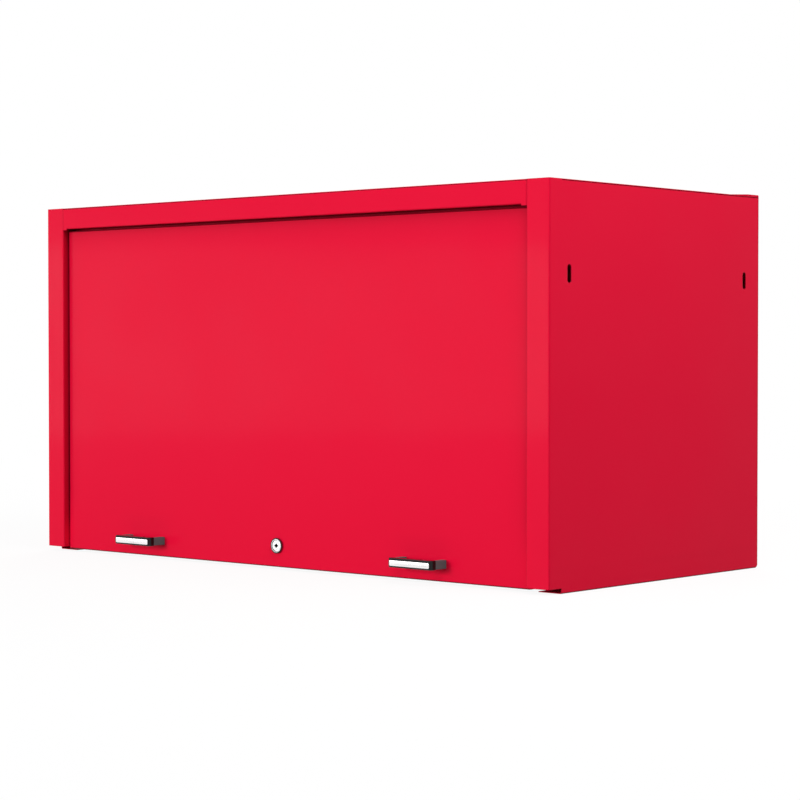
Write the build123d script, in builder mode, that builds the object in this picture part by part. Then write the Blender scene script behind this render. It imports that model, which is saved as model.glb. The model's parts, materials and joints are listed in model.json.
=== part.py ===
from build123d import *
from math import atan2, cos, pi, radians, sin, sqrt
import os

# Tool chest hutch: an open-bottomed steel cabinet with one lift-up door.
# Millimetres. X to the right, Y to the back, Z up. The origin is the middle of
# the base, on the plane that the cabinet stands on.

os.makedirs("parts", exist_ok=True)

# Cabinet shell
width = 1280.0
depth = 635.0
height = 690.0
sheet = 1.5
bend_inner = 1.0
weld_gap = 0.3

# Front posts, folded from the side panels
post_width = 48.7
post_depth = 34.0
post_lip = 12.0
post_ground_gap = 9.0

# Flanges of the side panels
rear_flange = 20.0
roof_flange = 25.0
base_flange = 48.5
corner_clip = 5.0
bend_relief = 2.0

# Side slots, upright, two in each side panel
slot_width = 10.5
slot_length = 31.0
slot_height = 533.0
slot_from_front = 54.0
slot_from_rear = 48.2

# Bolt holes in the base flanges
bolt_hole_d = 9.0
bolt_from_side = 25.0
bolt_spacing = 480.0

# Roof and fascia
fascia_height = 41.7
fascia_return = 12.0
fascia_tab_width = 10.5
fascia_tab_drop = 2.5

# Back panel, whose doubled top flange laps over the roof
lap_flange = 60.0
lap_clip = 25.0
back_base_flange = 22.0

# Cable holes low in the back panel, with a collar turned inwards and a rubber grommet in each
cable_hole_d = 38.0
cable_hole_x = 430.0
cable_hole_z = 110.0
cable_collar = 8.0
grommet_wall = 2.5
grommet_lip = 2.5
grommet_lip_thickness = 2.2
grommet_round = 0.8

# Hat-section ribs of the cabinet
rib_width = 40.0
rib_depth = 15.0
rib_flange = 12.0
rib_end_gap = 12.0
roof_rib_x = 320.0

# Door
door_recess = 12.0
door_side_gap = 2.8
door_top_gap = 3.8
door_bottom_gap = 5.3
door_flange = 20.0
door_top_flange = 15.0
brace_depth = 14.0
brace_bottom = 75.0
brace_rail_gap = 5.0

# Piano hinge
pin_d = 3.5
pin_clearance = 0.05
pin_chamfer = 0.4
leaf_thickness = 1.5
leaf_height = 22.0
hinge_drop = 12.5
knuckle_count = 23
knuckle_pitch = 50.0
knuckle_gap = 0.5
leaf_gap = 0.5
rail_drop = 29.0
rail_top_flange = 20.0
rail_end_gap = 2.0

# Handles
handle_from_side = 231.5
handle_height = 36.5
handle_length = 101.0
handle_projection = 40.0
bar_depth = 12.0
bar_height = 16.5
bar_corner = 7.0
bar_inner_corner = 3.0
leg_height = 14.7
leg_width = 10.0
inlay_length = 95.0
inlay_height = 11.4
inlay_drop = 0.4
inlay_corner = 3.0
inlay_recess = 1.0
inlay_proud = 0.6
inlay_fit = 0.2
handle_edge = 1.0
handle_screw_d = 4.8
handle_screw_depth = 15.0
screw_fit = 0.1
screw_head_d = 9.0
screw_head_height = 3.0
screw_head_round = 1.0

# Lock
lock_height = 45.0
gasket_d = 27.5
gasket_thickness = 0.8
bezel_d = 24.4
bezel_thickness = 1.6
barrel_head_d = 20.4
barrel_head_thickness = 1.2
barrel_d = 17.0
barrel_behind_skin = 6.7
barrel_floor = 2.0
thread_fit = 0.1
plug_d = 12.5
plug_tail_d = 6.0
plug_fit = 0.05
keyhole_size = 4.4
keyhole_depth = 3.0
nut_across_flats = 22.0
nut_thickness = 3.0
cam_thickness = 2.2
cam_width = 12.0
cam_radius = 10.0
cam_gap = 0.3
cam_pin_d = 5.0
cam_screw_d = 3.4
cam_screw_head_d = 10.0
cam_screw_head_height = 2.0
cam_screw_head_round = 0.5

# Lock rods
rod_d = 7.0
rod_behind_face = 14.5
rod_offset = 8.5
rod_tip_inset = 0.5
rod_tip_chamfer = 1.0
rod_hole_fit = 1.0
rod_plate_thickness = 3.0
rod_plate_length = 14.0
rod_plate_height = 16.0
rod_slot_clearance = 0.4
guide_from_side = 108.5
guide_fit = 0.1
guide_sheet = 2.0
guide_width = 24.0
guide_base = 18.0
guide_beyond_rod = 7.0
keeper_thickness = 2.0
keeper_height = 40.0

# Door stops
stop_height = 100.0
stop_length = 40.0
stop_reach = 13.0
stop_plate = 2.0
bumper_d = 11.0
bumper_clearance = 0.3

# Gas struts. Both pivots of a strut lie at strut_radius from the hinge axis,
# so the strut turns by exactly half the door's angle and stays straight.
strut_inset = 66.0
strut_radius = 340.0
strut_spread = 70.0
strut_behind_hinge = 10.0
strut_tube_d = 18.0
strut_bore_d = 15.0
strut_rod_d = 8.0
strut_running_fit = 0.1
piston_length = 8.0
piston_fit = 0.1
gland_length = 12.0
tube_start = 20.0
rod_shown = 38.0
tube_floor = 4.0
tube_chamfer = 2.0
tube_neck_length = 4.0
tube_neck_depth = 2.5
piston_gap = 6.0
eye_d = 18.0
eye_width = 9.0
eye_neck_d = 8.0
eye_shank = 8.0
stud_d = 8.0
stud_fit = 0.1
stud_shank_d = 6.0
stud_head_d = 11.0
stud_head_height = 1.5
stud_side_gap = 0.5
bracket_sheet = 2.0
bracket_width = 50.0
bracket_foot = 20.0
bracket_gap = 1.5
mount_base = 17.0
mount_length = 40.0
mount_beyond_stud = 10.0
door_mount_gap = 3.0

# Places worked out from the sizes above
front = -depth / 2
back = depth / 2
bend = sheet + bend_inner
side_inner = width / 2 - sheet
post_inner = width / 2 - post_width
post_back = front + post_depth
fascia_bottom = height - fascia_height
door_face = front + door_recess
door_inner = door_face + sheet
door_half = post_inner - door_side_gap
door_top = fascia_bottom - door_top_gap
door_back = door_face + door_flange
knuckle_r = pin_d / 2 + pin_clearance + leaf_thickness
hinge_y = door_inner + knuckle_r
hinge_z = door_top - hinge_drop
rail_front = hinge_y + knuckle_r
rail_bottom = hinge_z - rail_drop
hinge_length = knuckle_count * knuckle_pitch
handle_x = door_half - handle_from_side
brace_top = rail_bottom - brace_rail_gap
leaf_top = hinge_z - knuckle_r - leaf_gap
leaf_bottom = hinge_z - leaf_height
rod_y = door_face + rod_behind_face
cam_swing = cam_radius * sin(pi / 4)
barrel_back = door_inner + barrel_behind_skin
cam_front = barrel_back + cam_gap
cam_back = cam_front + cam_thickness
rod_plate_front = rod_y - rod_plate_thickness / 2
strut_x = width / 2 - strut_inset
stud_y = hinge_y + strut_behind_hinge
stud_z = hinge_z - sqrt(strut_radius**2 - strut_behind_hinge**2)
stud_angle = atan2(stud_z - hinge_z, stud_y - hinge_y)
anchor_angle = stud_angle + radians(strut_spread)
anchor_y = hinge_y + strut_radius * cos(anchor_angle)
anchor_z = hinge_z + strut_radius * sin(anchor_angle)
strut_angle = atan2(stud_z - anchor_z, stud_y - anchor_y)
strut_length = 2 * strut_radius * sin(radians(strut_spread) / 2)
rod_end = strut_length - eye_d / 2 - eye_shank
tube_end = rod_end - rod_shown
rod_start = tube_start + tube_floor + piston_gap


# Shared forms

def sheet_section(plane, points, thickness=sheet, side=Side.LEFT):
    """Section of a folded sheet: its outer line with bend arcs, thickened to one side."""
    with BuildSketch(plane) as section:
        with BuildLine():
            FilletPolyline(*points, radius=thickness + bend_inner)
            offset(amount=thickness, side=side)
        make_face()
    return section.sketch


def outline(plane, points):
    """Closed straight-sided outline."""
    with BuildSketch(plane) as shape:
        with BuildLine():
            Polyline(*points, close=True)
        make_face()
    return shape.sketch


def write(piece, name):
    """Name a finished piece and write it."""
    piece.part.label = name
    export_step(piece.part, f"parts/{name}.step")


def write_pair(right, name):
    """Write a right-hand piece and its mirror image on the left."""
    write(right, f"{name}_right")
    with BuildPart() as left:
        mirror(right.part, about=Plane.YZ)
    write(left, f"{name}_left")


# Side panels: the post is folded round the front, the flanges round the rest of the wall

def make_side_panel(rod_hole_z):
    """Right-hand side panel; the rod hole's height differs from side to side."""
    with BuildPart() as panel:
        post_section = sheet_section(Plane.XY.offset(post_ground_gap), [
            (post_inner + post_lip, post_back),
            (post_inner, post_back),
            (post_inner, front),
            (width / 2, front),
            (width / 2, post_back),
        ])
        extrude(post_section, amount=height - post_ground_gap)
        # the roof lies on the wall, one sheet below the top of the post
        wall_section = sheet_section(
            Plane.XZ.offset(-post_back),
            [
                (width / 2 - roof_flange, height - sheet),
                (width / 2, height - sheet),
                (width / 2, 0),
                (width / 2 - base_flange, 0),
            ],
            side=Side.RIGHT,
        )
        extrude(wall_section, amount=post_back - (back - sheet))
        with BuildSketch(Plane.XZ.offset(-(back - sheet))):
            with Locations((side_inner, sheet)):
                Rectangle(rear_flange - sheet, height - 3 * sheet, align=(Align.MAX, Align.MIN))
        extrude(amount=sheet)
        # relief between the roof flange and the post, where the bend ends
        with BuildSketch(Plane.XY.offset(height - sheet - bend)):
            with Locations((side_inner, post_back)):
                Rectangle(roof_flange, bend_relief, align=(Align.MAX, Align.MIN))
        extrude(amount=bend, mode=Mode.SUBTRACT)
        # top of the post, closed by a tab of the same sheet
        with BuildSketch(Plane.XY.offset(height - sheet)) as cap:
            with Locations((post_inner, front)):
                Rectangle(post_width, post_depth, align=Align.MIN)
            fillet(cap.vertices().group_by(Axis.Y)[0], bend)
        extrude(amount=sheet)
        corner = outline(Plane.YZ, [(back - corner_clip, 0), (back, 0), (back, corner_clip)])
        extrude(corner, amount=width, mode=Mode.SUBTRACT)
        with BuildSketch(Plane.YZ.offset(side_inner - sheet)):
            with Locations((front + slot_from_front, slot_height), (back - slot_from_rear, slot_height)):
                SlotOverall(slot_length, slot_width, rotation=90)
        extrude(amount=3 * sheet, mode=Mode.SUBTRACT)
        with BuildSketch(Plane.XY):
            with Locations((width / 2 - bolt_from_side, 0)):
                with GridLocations(0, bolt_spacing, 1, 2):
                    Circle(bolt_hole_d / 2)
        extrude(amount=sheet, mode=Mode.SUBTRACT)
        with BuildSketch(Plane.YZ.offset(post_inner)):
            with Locations((rod_y, rod_hole_z)):
                Circle(rod_d / 2 + rod_hole_fit)
        extrude(amount=sheet, mode=Mode.SUBTRACT)
    return panel


side_panel_right = make_side_panel(lock_height + rod_offset)
write(side_panel_right, "side_panel_right")
with BuildPart() as side_panel_left:
    mirror(make_side_panel(lock_height - rod_offset).part, about=Plane.YZ)
write(side_panel_left, "side_panel_left")


# Roof and fascia, folded from one sheet; the fascia fits between the posts
fascia_half = post_inner - weld_gap
return_half = fascia_half - fascia_tab_width
with BuildPart() as roof_panel:
    section = sheet_section(Plane.YZ, [
        (post_back, height),
        (front, height),
        (front, fascia_bottom),
        (front + fascia_return, fascia_bottom),
    ])
    extrude(section, amount=return_half, both=True)
    for tab_start in (-fascia_half, return_half):
        section = sheet_section(Plane.YZ.offset(tab_start), [
            (post_back, height),
            (front, height),
            (front, fascia_bottom - fascia_tab_drop),
        ])
        extrude(section, amount=fascia_tab_width)
    with BuildSketch(Plane.XY.offset(height)):
        with Locations((0, post_back)):
            Rectangle(width, back - sheet - weld_gap - post_back, align=(Align.CENTER, Align.MIN))
    extrude(amount=-sheet)
write(roof_panel, "roof_panel")


# Back panel: its top flange is folded double over the roof and clipped at the corners
with BuildPart() as back_panel:
    with BuildSketch(Plane.XZ.offset(-back)):
        Rectangle(width, height, align=(Align.CENTER, Align.MIN))
    extrude(amount=sheet)
    with BuildSketch(Plane.XY.offset(height)):
        with BuildLine():
            Polyline(
                (-width / 2, back), (width / 2, back),
                (width / 2, back - lap_flange + lap_clip),
                (width / 2 - lap_clip, back - lap_flange),
                (lap_clip - width / 2, back - lap_flange),
                (-width / 2, back - lap_flange + lap_clip), close=True,
            )
        make_face()
    extrude(amount=2 * sheet)
    fold_line = edges().filter_by(Axis.X).group_by(Axis.Z)[-1]
    fillet(fold_line.sort_by(Axis.Y)[-1], bend)
    with BuildSketch(Plane.XY):
        with Locations((0, back)):
            Rectangle(
                width - 2 * base_flange - 2 * weld_gap, back_base_flange,
                align=(Align.CENTER, Align.MAX),
            )
    extrude(amount=sheet)
    with BuildSketch(Plane.XZ.offset(-back)):
        for side in (-1, 1):
            with BuildLine():
                Polyline(
                    (side * width / 2, 0), (side * (width / 2 - corner_clip), 0),
                    (side * width / 2, corner_clip), close=True,
                )
            make_face()
    extrude(amount=sheet, mode=Mode.SUBTRACT)
    cable_holes = [(cable_hole_x, cable_hole_z), (-cable_hole_x, cable_hole_z)]
    with BuildSketch(Plane.XZ.offset(-back)):
        with Locations(*cable_holes):
            Circle(cable_hole_d / 2 + sheet)
    extrude(amount=cable_collar)
    with BuildSketch(Plane.XZ.offset(-back)):
        with Locations(*cable_holes):
            Circle(cable_hole_d / 2)
    extrude(amount=cable_collar, mode=Mode.SUBTRACT)
    rims = edges().filter_by(GeomType.CIRCLE).group_by(Axis.Y)[-1]
    fillet(rims, bend)
write(back_panel, "back_panel")


# Grommet: a rubber sleeve in the collar, with a lip over the collar's inner end
sleeve_outer = cable_hole_x + cable_hole_d / 2
sleeve_inner = sleeve_outer - grommet_wall
sleeve_end = back - bend
lip_edge = sleeve_outer + sheet + grommet_lip
collar_end = back - cable_collar
with BuildPart() as cable_grommet_right:
    grommet_section = outline(Plane.XY.offset(cable_hole_z), [
        (sleeve_inner, sleeve_end),
        (sleeve_outer, sleeve_end),
        (sleeve_outer, collar_end),
        (lip_edge, collar_end),
        (lip_edge, collar_end - grommet_lip_thickness),
        (sleeve_inner, collar_end - grommet_lip_thickness),
    ])
    revolve(grommet_section, axis=Axis((cable_hole_x, back, cable_hole_z), (0, 1, 0)))
    fillet(edges().filter_by(GeomType.CIRCLE).group_by(Axis.Y)[0], grommet_round)
    fillet(edges().filter_by(GeomType.CIRCLE).group_by(Axis.Y)[-1].sort_by(SortBy.RADIUS)[0], grommet_round)
write_pair(cable_grommet_right, "cable_grommet")


# Hat-section ribs: two under the roof, one up the back, three down the door

def hat_outline(face, outward, centre, depth_of_hat):
    """Hat section standing off a surface at height `face`, growing along `outward`."""
    half = rib_width / 2
    top = face + outward * depth_of_hat
    points = [
        (centre - half - rib_flange, face + outward * sheet),
        (centre - half, face + outward * sheet),
        (centre - half, top),
        (centre + half, top),
        (centre + half, face + outward * sheet),
        (centre + half + rib_flange, face + outward * sheet),
    ]
    return points if outward < 0 else points[::-1]


roof_under = height - sheet
for name, x in (("roof_rib_right", roof_rib_x), ("roof_rib_left", -roof_rib_x)):
    with BuildPart() as roof_rib:
        rib_plane = Plane.XZ.offset(-(back - rear_flange - rib_end_gap))
        section = sheet_section(rib_plane, hat_outline(roof_under, -1, x, rib_depth))
        extrude(section, amount=back - post_back - 2 * rear_flange - 2 * rib_end_gap)
    write(roof_rib, name)

back_inside = back - sheet
with BuildPart() as back_rib:
    rib_plane = Plane.XY.offset(back_base_flange + rib_end_gap)
    section = sheet_section(rib_plane, hat_outline(back_inside, -1, 0, rib_depth))
    extrude(section, amount=roof_under - rib_end_gap - back_base_flange - rib_end_gap)
write(back_rib, "back_rib")


# Hinge rail: a gutter between the door's flanges that carries the frame leaf;
# its web runs on behind the lips of the posts
rail_back = post_back + sheet
gutter_half = door_half - sheet - rail_end_gap
with BuildPart() as hinge_rail:
    web_line = [
        (rail_back, roof_under - sheet),
        (rail_back + rail_top_flange, roof_under - sheet),
    ]
    gutter = sheet_section(Plane.YZ, [
        (rail_front, leaf_top), (rail_front, rail_bottom), (rail_back, rail_bottom), *web_line,
    ])
    extrude(gutter, amount=gutter_half, both=True)
    web = sheet_section(Plane.YZ, [(rail_back, rail_bottom + bend), *web_line])
    extrude(web, amount=post_inner + post_lip, both=True)
write(hinge_rail, "hinge_rail")


# Piano hinge: two leaves whose fingers curl round one pin

def make_leaf(outer_face, towards_pin, first_knuckle):
    """Leaf with its plate and every second knuckle."""
    with BuildPart() as leaf:
        with BuildSketch(Plane.YZ.offset(-hinge_length / 2)):
            with Locations((outer_face, leaf_bottom)):
                Rectangle(
                    leaf_thickness, leaf_top - leaf_bottom,
                    align=(Align.MIN if towards_pin > 0 else Align.MAX, Align.MIN),
                )
        extrude(amount=hinge_length)
        for index in range(first_knuckle, knuckle_count, 2):
            start = -hinge_length / 2 + index * knuckle_pitch + knuckle_gap / 2
            with BuildSketch(Plane.YZ.offset(start)):
                with Locations((hinge_y, hinge_z)):
                    Circle(knuckle_r)
                with Locations((outer_face, leaf_top)):
                    Rectangle(
                        leaf_thickness, hinge_z - leaf_top,
                        align=(Align.MIN if towards_pin > 0 else Align.MAX, Align.MIN),
                    )
                with Locations((hinge_y, hinge_z)):
                    Circle(pin_d / 2 + pin_clearance, mode=Mode.SUBTRACT)
            extrude(amount=knuckle_pitch - knuckle_gap)
    return leaf


hinge_leaf_door = make_leaf(door_inner, 1, 1)
write(hinge_leaf_door, "hinge_leaf_door")
hinge_leaf_frame = make_leaf(rail_front, -1, 0)
write(hinge_leaf_frame, "hinge_leaf_frame")

with BuildPart() as hinge_pin:
    with BuildSketch(Plane.YZ):
        with Locations((hinge_y, hinge_z)):
            Circle(pin_d / 2)
    extrude(amount=hinge_length / 2, both=True)
    chamfer(edges().filter_by(GeomType.CIRCLE), pin_chamfer)
write(hinge_pin, "hinge_pin")


# Door skin: a shallow pan, open to the back
door_height = door_top - door_bottom_gap
with BuildPart() as door_skin:
    with BuildSketch(Plane.XZ.offset(-door_face)):
        with Locations((0, door_bottom_gap)):
            Rectangle(2 * door_half, door_height, align=(Align.CENTER, Align.MIN))
    extrude(amount=-door_flange)
    fillet(faces().sort_by(Axis.Y)[0].edges(), bend)
    offset(amount=-sheet, openings=faces().sort_by(Axis.Y)[-1])
    # the top flange is shorter, to swing clear of the hinge rail
    with BuildSketch(Plane.YZ):
        with Locations((door_face + door_top_flange, door_top - hinge_drop)):
            Rectangle(door_flange, 2 * hinge_drop, align=(Align.MIN, Align.MIN))
    extrude(amount=width, both=True, mode=Mode.SUBTRACT)
    with BuildSketch(Plane.XZ.offset(-door_face)):
        with Locations((0, lock_height)):
            Circle(barrel_d / 2 + thread_fit)
        for side in (-1, 1):
            with Locations((side * handle_x, handle_height)):
                with GridLocations(handle_length - leg_width, 0, 2, 1):
                    Circle(handle_screw_d / 2 + screw_fit)
    extrude(amount=-sheet, mode=Mode.SUBTRACT)
    for side in (-1, 1):
        with BuildSketch(Plane.YZ.offset(side * (door_half - sheet))):
            with Locations((rod_y, lock_height + side * rod_offset)):
                Circle(rod_d / 2 + rod_hole_fit)
        extrude(amount=side * sheet, mode=Mode.SUBTRACT)
write(door_skin, "door_skin")

# the outer braces stand behind the handles
for name, x in (("door_brace_left", -handle_x), ("door_brace_centre", 0), ("door_brace_right", handle_x)):
    with BuildPart() as door_brace:
        section = sheet_section(Plane.XY.offset(brace_bottom), hat_outline(door_inner, 1, x, brace_depth))
        extrude(section, amount=brace_top - brace_bottom)
    write(door_brace, name)


# Handles: a bar on two legs, with a bright strip let into its face
bar_front = door_face - handle_projection
for side, name in ((1, "right"), (-1, "left")):
    centre = side * handle_x
    with BuildPart() as handle:
        with BuildSketch(Plane.XY.offset(handle_height - bar_height / 2)) as bar_plan:
            with Locations((centre, bar_front)):
                Rectangle(handle_length, bar_depth, align=(Align.CENTER, Align.MIN))
            fillet(bar_plan.vertices().group_by(Axis.Y)[0], bar_corner)
        extrude(amount=bar_height)
        fillet(edges().group_by(Axis.Z)[0] + edges().group_by(Axis.Z)[-1], handle_edge)
        with BuildSketch(Plane.XY.offset(handle_height - leg_height / 2)):
            with Locations((centre, bar_front + bar_corner)):
                Rectangle(handle_length, handle_projection - bar_corner, align=(Align.CENTER, Align.MIN))
            with BuildSketch(mode=Mode.SUBTRACT) as finger_gap:
                with Locations((centre, bar_front + bar_depth)):
                    Rectangle(
                        handle_length - 2 * leg_width, 2 * handle_projection, align=(Align.CENTER, Align.MIN)
                    )
                fillet(finger_gap.vertices().group_by(Axis.Y)[0], bar_inner_corner)
        extrude(amount=leg_height)
        with BuildSketch(Plane.XZ.offset(-bar_front)):
            with Locations((centre, handle_height - inlay_drop)):
                RectangleRounded(inlay_length, inlay_height, inlay_corner)
        extrude(amount=-inlay_recess, mode=Mode.SUBTRACT)
        with BuildSketch(Plane.XZ.offset(-door_face)):
            with Locations((centre, handle_height)):
                with GridLocations(handle_length - leg_width, 0, 2, 1):
                    Circle(handle_screw_d / 2 + screw_fit)
        extrude(amount=handle_screw_depth, mode=Mode.SUBTRACT)
    write(handle, f"handle_{name}")

    with BuildPart() as handle_inlay:
        with BuildSketch(Plane.XZ.offset(-(bar_front + inlay_recess))):
            with Locations((centre, handle_height - inlay_drop)):
                RectangleRounded(
                    inlay_length - 2 * inlay_fit, inlay_height - 2 * inlay_fit, inlay_corner - inlay_fit
                )
        extrude(amount=inlay_recess + inlay_proud)
        fillet(faces().sort_by(Axis.Y)[0].edges(), inlay_proud)
    write(handle_inlay, f"handle_inlay_{name}")

with BuildPart() as handle_screws:
    for side in (-1, 1):
        with BuildSketch(Plane.XZ.offset(-door_inner)):
            with Locations((side * handle_x, handle_height)):
                with GridLocations(handle_length - leg_width, 0, 2, 1):
                    Circle(screw_head_d / 2)
        extrude(amount=-screw_head_height)
        with BuildSketch(Plane.XZ.offset(-door_inner)):
            with Locations((side * handle_x, handle_height)):
                with GridLocations(handle_length - leg_width, 0, 2, 1):
                    Circle(handle_screw_d / 2)
        extrude(amount=handle_screw_depth)
    heads = edges().filter_by(GeomType.CIRCLE).group_by(Axis.Y)[-1]
    fillet(heads, screw_head_round)
write(handle_screws, "handle_screws")


# Lock: gasket, bezel, barrel and nut clamp the skin; plug, cam and screw turn together

# Profiles of the turned pieces are (radius, y) points in the plane of the lock's axis
lock_plane = Plane.XY.offset(lock_height)
lock_axis = Axis((0, 0, lock_height), (0, 1, 0))

bezel_back = door_face - gasket_thickness
bezel_front = bezel_back - bezel_thickness
barrel_front = bezel_front - barrel_head_thickness
bezel_bore = barrel_d / 2 + thread_fit
with BuildPart() as lock_gasket:
    with BuildSketch(Plane.XZ.offset(-door_face)):
        with Locations((0, lock_height)):
            Circle(gasket_d / 2)
            Circle(bezel_bore, mode=Mode.SUBTRACT)
    extrude(amount=gasket_thickness)
    outer_rim = edges().filter_by(GeomType.CIRCLE).group_by(Axis.Y)[0].sort_by(SortBy.RADIUS)[-1]
    fillet(outer_rim, gasket_thickness / 2)
write(lock_gasket, "lock_gasket")

with BuildPart() as lock_bezel:
    revolve(outline(lock_plane, [
        (bezel_bore, bezel_back),
        (bezel_d / 2, bezel_back),
        (bezel_d / 2, bezel_back - bezel_thickness / 2),
        (bezel_d / 2 - bezel_thickness / 2, bezel_front),
        (bezel_bore, bezel_front),
    ]), axis=lock_axis)
write(lock_bezel, "lock_bezel")

plug_bore = plug_d / 2 + plug_fit
tail_bore = plug_tail_d / 2 + plug_fit
with BuildPart() as lock_barrel:
    revolve(outline(lock_plane, [
        (plug_bore, barrel_front),
        (barrel_head_d / 2 - barrel_head_thickness / 2, barrel_front),
        (barrel_head_d / 2, barrel_front + barrel_head_thickness / 2),
        (barrel_head_d / 2, bezel_front),
        (barrel_d / 2, bezel_front),
        (barrel_d / 2, barrel_back),
        (tail_bore, barrel_back),
        (tail_bore, barrel_back - barrel_floor),
        (plug_bore, barrel_back - barrel_floor),
    ]), axis=lock_axis)
write(lock_barrel, "lock_barrel")

with BuildPart() as lock_nut:
    with BuildSketch(Plane.XZ.offset(-door_inner)):
        with Locations((0, lock_height)):
            RegularPolygon(nut_across_flats / 2, 6, major_radius=False)
            Circle(barrel_d / 2 + thread_fit, mode=Mode.SUBTRACT)
    extrude(amount=-nut_thickness)
write(lock_nut, "lock_nut")

plug_back = barrel_back - barrel_floor - plug_fit
with BuildPart() as lock_plug:
    revolve(outline(lock_plane, [
        (0, barrel_front),
        (plug_d / 2, barrel_front),
        (plug_d / 2, plug_back),
        (plug_tail_d / 2, plug_back),
        (plug_tail_d / 2, cam_back),
        (0, cam_back),
    ]), axis=lock_axis)
    with BuildSketch(Plane.XZ.offset(-barrel_front)):
        with Locations((0, lock_height)):
            Rectangle(keyhole_size, keyhole_size, rotation=45)
    extrude(amount=-keyhole_depth, mode=Mode.SUBTRACT)
    with BuildSketch(Plane.XZ.offset(-cam_back)):
        with Locations((0, lock_height)):
            Circle(cam_screw_d / 2 + screw_fit)
    extrude(amount=cam_thickness + barrel_floor, mode=Mode.SUBTRACT)
write(lock_plug, "lock_plug")

with BuildPart() as lock_cam:
    with BuildSketch(Plane.XZ.offset(-cam_front)):
        with Locations((0, lock_height)):
            SlotCenterToCenter(2 * cam_radius, cam_width, rotation=135)
            Circle(plug_tail_d / 2 + plug_fit, mode=Mode.SUBTRACT)
    extrude(amount=-cam_thickness)
    with BuildSketch(Plane.XZ.offset(-cam_back)):
        with Locations((-cam_swing, lock_height + cam_swing), (cam_swing, lock_height - cam_swing)):
            Circle(cam_pin_d / 2)
    extrude(amount=-(rod_plate_front + rod_plate_thickness + cam_gap - cam_back))
write(lock_cam, "lock_cam")

with BuildPart() as lock_cam_screw:
    with BuildSketch(Plane.XZ.offset(-cam_back)):
        with Locations((0, lock_height)):
            Circle(cam_screw_head_d / 2)
    extrude(amount=-cam_screw_head_height)
    fillet(edges().filter_by(GeomType.CIRCLE).group_by(Axis.Y)[-1], cam_screw_head_round)
    with BuildSketch(Plane.XZ.offset(-cam_back)):
        with Locations((0, lock_height)):
            Circle(cam_screw_d / 2)
    extrude(amount=cam_thickness + barrel_floor)
write(lock_cam_screw, "lock_cam_screw")


# Lock rods: each has a slotted plate that a cam pin drives sideways
rod_slot_width = cam_pin_d + 2 * rod_slot_clearance
rod_slot_length = rod_slot_width + 2 * max(cam_radius - rod_offset, rod_offset - cam_swing)
for side, name in ((1, "right"), (-1, "left")):
    rod_z = lock_height + side * rod_offset
    plate_x = -side * cam_swing
    rod_inner = plate_x + side * rod_plate_length / 2
    rod_tip = side * (door_half - rod_tip_inset)
    with BuildPart() as lock_rod:
        with BuildSketch(Plane.XZ.offset(-rod_plate_front)):
            with Locations((plate_x, rod_z)):
                RectangleRounded(rod_plate_length, rod_plate_height, rod_plate_thickness / 2)
                SlotOverall(rod_slot_length, rod_slot_width, rotation=90, mode=Mode.SUBTRACT)
        extrude(amount=-rod_plate_thickness)
        with BuildSketch(Plane.YZ.offset(rod_inner)):
            with Locations((rod_y, rod_z)):
                Circle(rod_d / 2)
        extrude(amount=rod_tip - rod_inner)
        tip = faces().sort_by(Axis.X)[-1 if side > 0 else 0]
        chamfer(tip.edges(), rod_tip_chamfer)
    write(lock_rod, f"lock_rod_{name}")

    with BuildPart() as rod_guide:
        upright = side * (door_half - guide_from_side)
        section = sheet_section(
            Plane.XY.offset(rod_z - guide_width / 2),
            [
                (upright - side * guide_base, door_inner),
                (upright, door_inner),
                (upright, rod_y + guide_beyond_rod),
            ],
            thickness=guide_sheet,
            side=Side.LEFT if side > 0 else Side.RIGHT,
        )
        extrude(section, amount=guide_width)
        with BuildSketch(Plane.YZ.offset(upright)):
            with Locations((rod_y, rod_z)):
                Circle(rod_d / 2 + guide_fit)
        extrude(amount=-side * guide_sheet, mode=Mode.SUBTRACT)
    write(rod_guide, f"rod_guide_{name}")

    with BuildPart() as keeper:
        with BuildSketch(Plane.YZ.offset(side * (post_inner + sheet))):
            keeper_front = front + bend + sheet
            keeper_back = post_back - bend
            with Locations(((keeper_front + keeper_back) / 2, rod_z)):
                RectangleRounded(keeper_back - keeper_front, keeper_height, bend)
            with Locations((rod_y, rod_z)):
                Circle(rod_d / 2 + rod_hole_fit, mode=Mode.SUBTRACT)
        extrude(amount=side * keeper_thickness)
    write(keeper, f"keeper_{name}")


# Door stops on the post lips, with rubber bumpers that meet the door's flanges
with BuildPart() as door_stop:
    with BuildSketch(Plane.XZ.offset(-post_back)):
        with Locations((post_inner + (post_lip - stop_reach) / 2, stop_height)):
            RectangleRounded(post_lip + stop_reach, stop_length, bend)
    extrude(amount=-stop_plate)
write_pair(door_stop, "door_stop")

with BuildPart() as door_bumper:
    with BuildSketch(Plane.XZ.offset(-post_back)):
        with Locations((post_inner - stop_reach / 2, stop_height)):
            Circle(bumper_d / 2)
    extrude(amount=post_back - door_back - bumper_clearance)
    fillet(faces().sort_by(Axis.Y)[0].edges(), bumper_clearance)
write_pair(door_bumper, "door_bumper")


# Gas struts, drawn in the plane of the strut: local X runs from the anchor to the door stud
strut_plane = Plane(
    origin=(strut_x, anchor_y, anchor_z),
    x_dir=(0, cos(strut_angle), sin(strut_angle)),
    z_dir=(1, 0, 0),
)
strut_axis = Axis((strut_x, anchor_y, anchor_z), (0, cos(strut_angle), sin(strut_angle)))


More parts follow.
